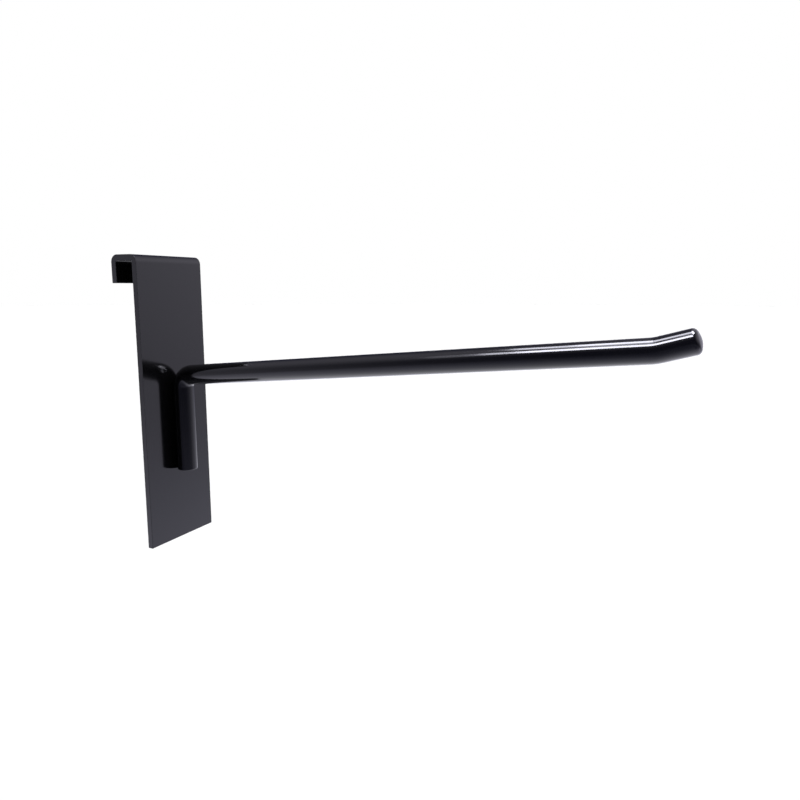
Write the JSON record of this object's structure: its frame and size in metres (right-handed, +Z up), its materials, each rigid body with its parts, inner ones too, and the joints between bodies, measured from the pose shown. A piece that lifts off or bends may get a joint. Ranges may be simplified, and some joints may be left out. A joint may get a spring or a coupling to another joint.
{
  "type": "wire grid display hook",
  "caption": "Display hook for a wire grid panel: folded back plate that hooks over a grid wire, and a bent round rod arm with an upturned tip.",
  "frame": {"origin": "middle of the underside of the fold's ceiling, where the hook sits on the grid's wire", "axes": "X runs along the wire and across the plate, -Y runs out along the arm, +Y is behind the plate, +Z is up"},
  "size_m": [0.028, 0.1665, 0.0922],
  "materials": {
    "plate_coat": "gloss black coating on sheet steel",
    "arm_coat": "gloss black coating on round steel rod"
  },
  "bodies": {
    "root": {"back_plate": "plate_coat", "arm": "arm_coat"}
  },
  "joints": []
}
